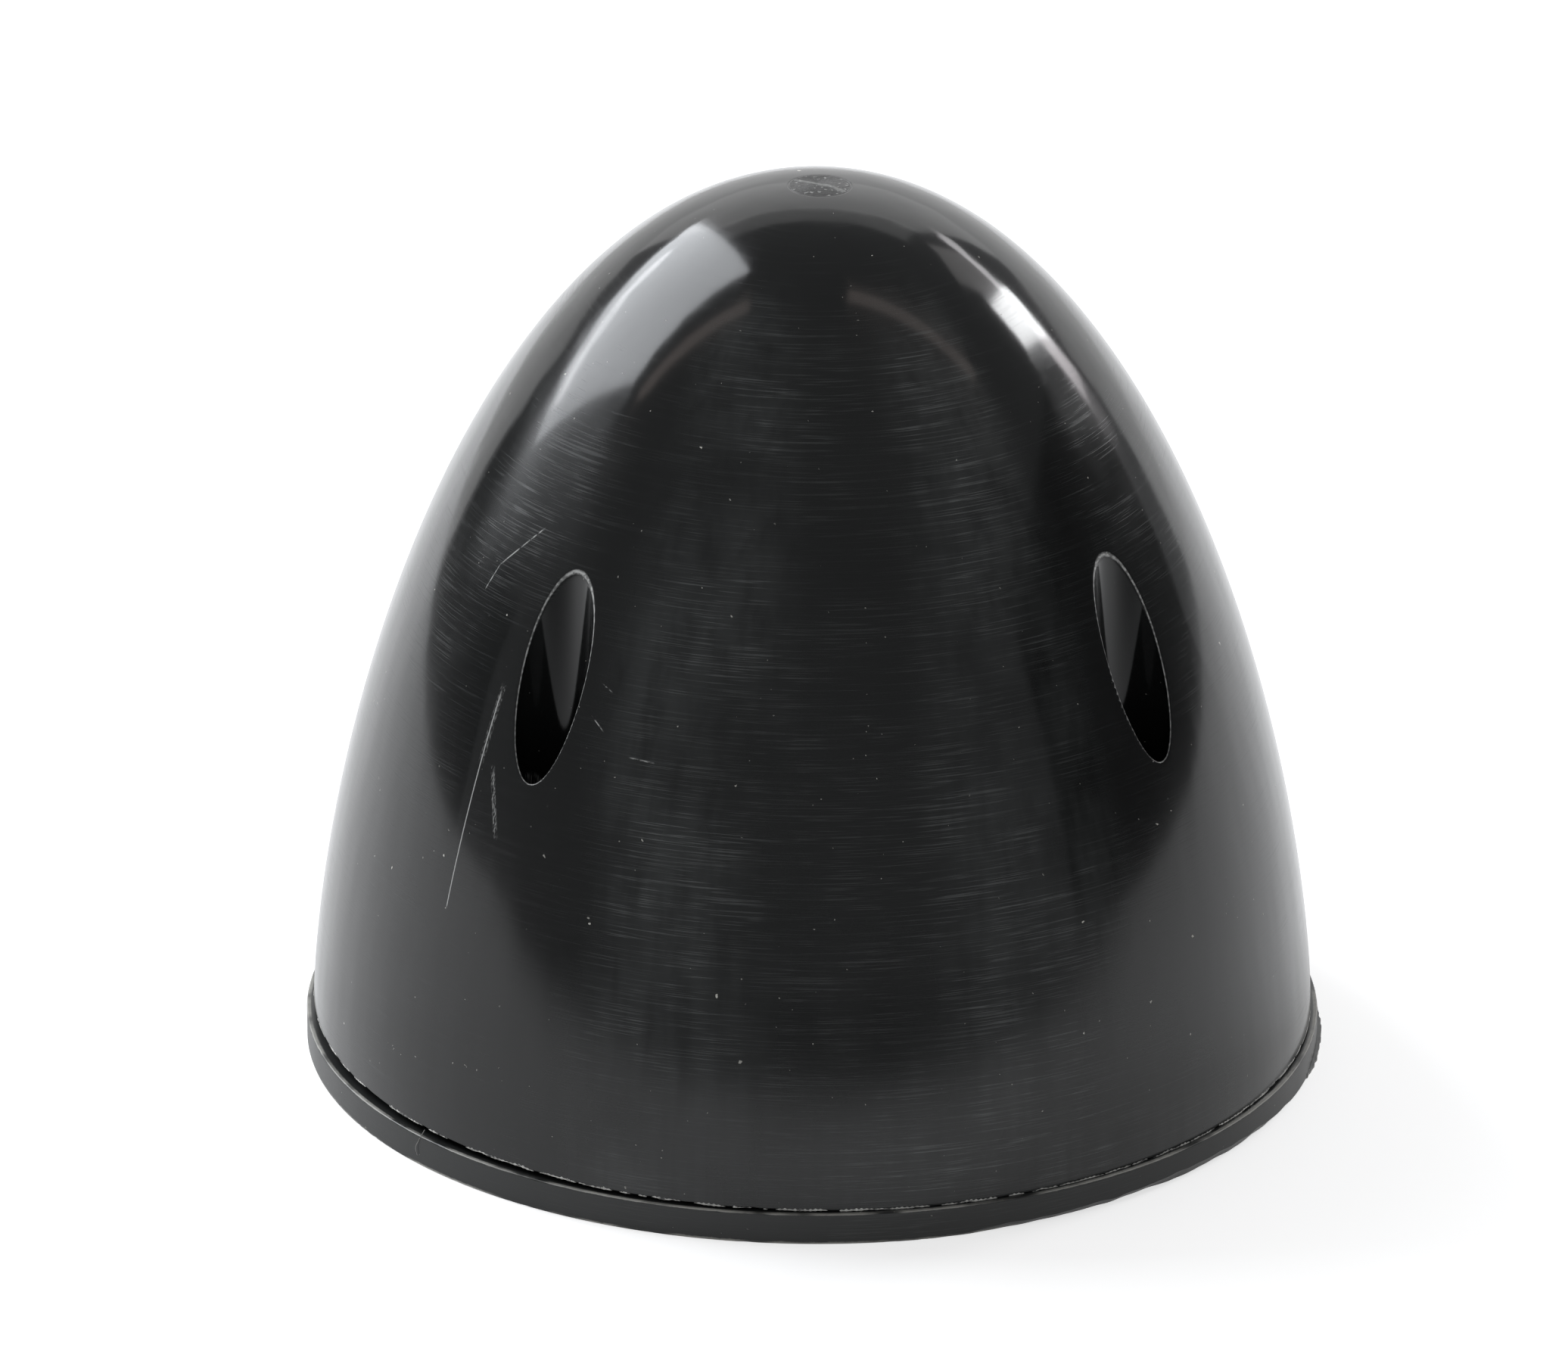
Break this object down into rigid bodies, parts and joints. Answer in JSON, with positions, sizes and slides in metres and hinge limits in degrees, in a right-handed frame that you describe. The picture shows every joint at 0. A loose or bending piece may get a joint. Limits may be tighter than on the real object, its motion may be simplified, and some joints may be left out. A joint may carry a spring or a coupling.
{
  "type": "propeller spinner",
  "caption": "Bullet-shaped moulded spinner for a model aircraft: a hollow nose cone with deep screw wells, screwed to a round backplate with a shaft bore.",
  "frame": {"origin": "centre of the shaft bore at the backplate's back face", "axes": "+Z along the shaft towards the nose; the screw wells lie at 45, 135, 225 and 315 degrees from +X"},
  "size_m": [0.0703, 0.07, 0.062],
  "materials": {
    "gloss_black_nylon": "glossy moulded nylon with fine scratches running round it",
    "satin_black_nylon": "satin moulded nylon, knife-trimmed along part of the rim",
    "plated_steel": "plated steel screws"
  },
  "bodies": {
    "root": {"spinner_cone": "gloss_black_nylon", "backplate": "satin_black_nylon", "cone_screws": "plated_steel"}
  },
  "joints": []
}
